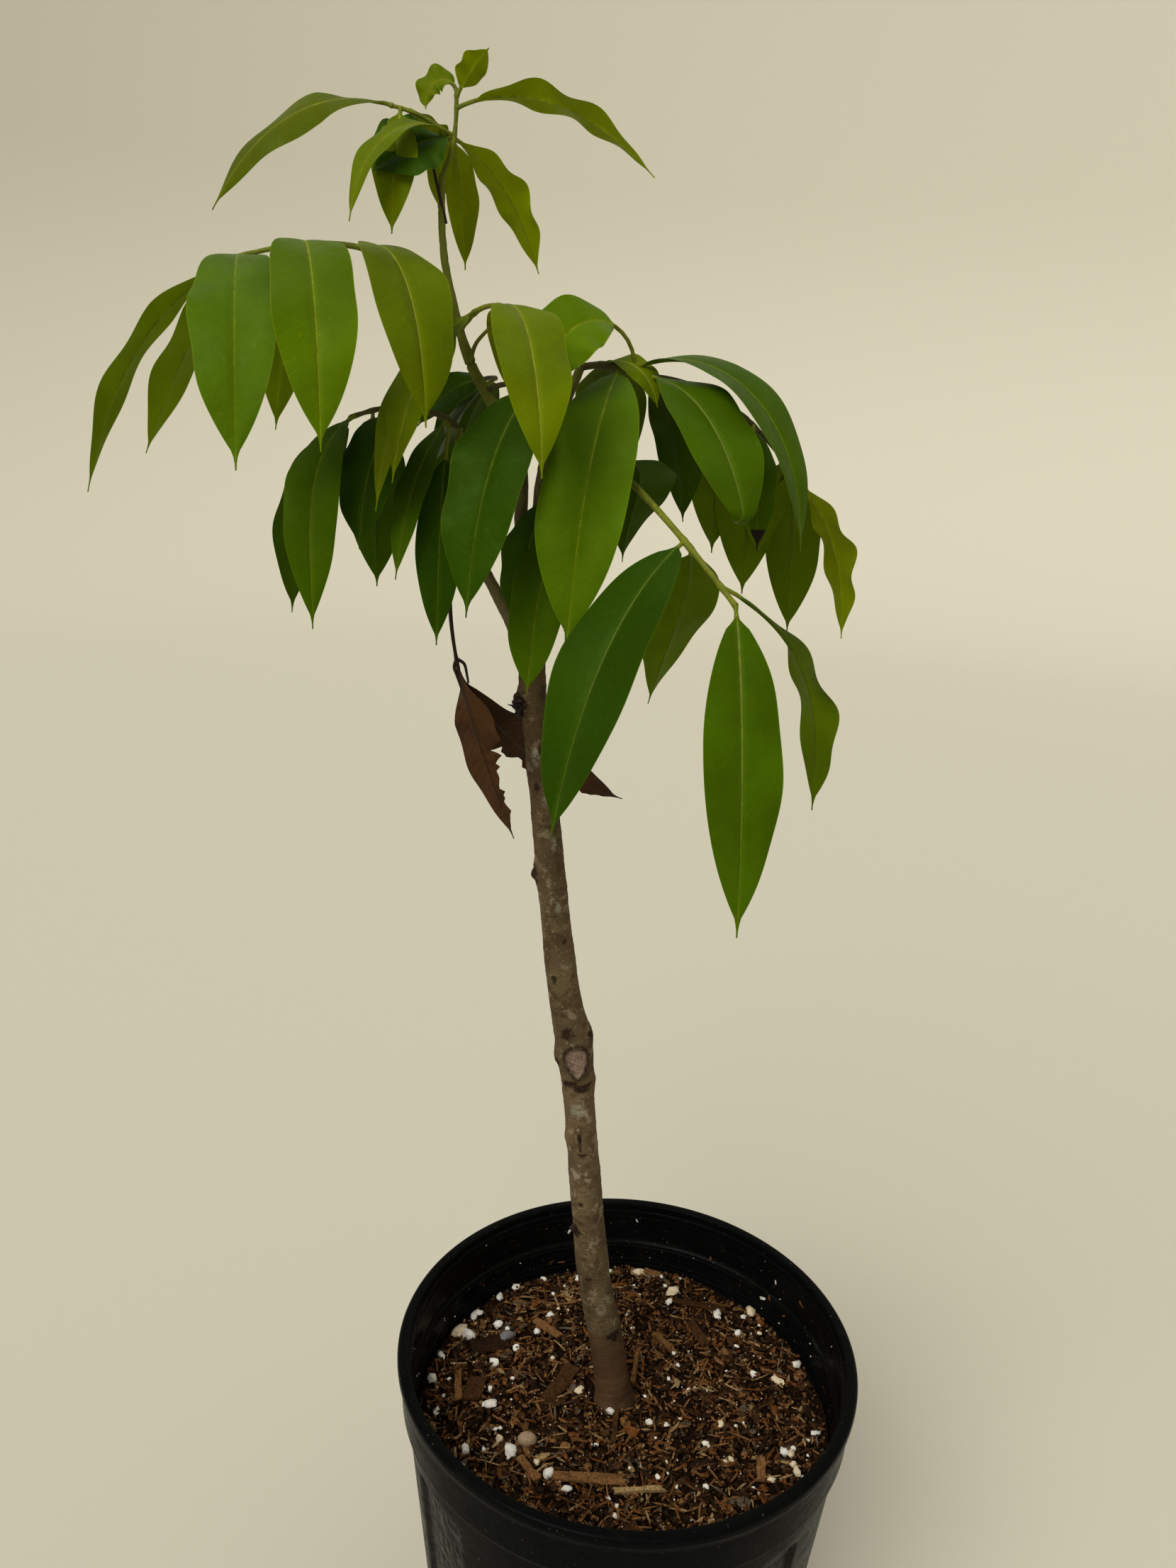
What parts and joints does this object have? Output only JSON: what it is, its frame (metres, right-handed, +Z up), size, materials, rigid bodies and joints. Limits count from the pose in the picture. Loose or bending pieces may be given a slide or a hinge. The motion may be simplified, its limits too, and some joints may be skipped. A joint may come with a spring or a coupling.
{
  "type": "potted lychee tree",
  "caption": "Young grafted lychee tree with one bare leaning trunk and drooping sprays of long leaflets, standing in a round black nursery pot filled with bark mix.",
  "frame": {"origin": "centre of the pot's flat underside", "axes": "+Z up, along the tree; the side of the crown that shows the most leaves looks along -Y; the trunk leans towards -X"},
  "size_m": [0.4327, 0.2847, 0.9367],
  "materials": {
    "black_plastic": "scuffed glossy black",
    "potting_mix": "damp loose bark and peat with white grains",
    "bark": "grey-brown bark",
    "young_leaf": "satin yellow-green leaf",
    "green_leaf": "satin mid-green leaf",
    "dead_leaf": "dry brown leaf"
  },
  "bodies": {
    "root": {"pot": "black_plastic", "potting_mix": "potting_mix", "trunk": "bark", "leader": "bark", "right_bough": "bark", "left_bough": "bark", "left_fan_foliage": "young_leaf", "centre_fan_foliage": "young_leaf", "top_foliage": "young_leaf", "left_foliage": "green_leaf", "near_left_foliage": "green_leaf", "back_left_foliage": "green_leaf", "inner_foliage": "green_leaf", "right_foliage": "green_leaf", "lower_right_foliage": "green_leaf", "hanging_dead_spray": "dead_leaf"}
  },
  "joints": []
}
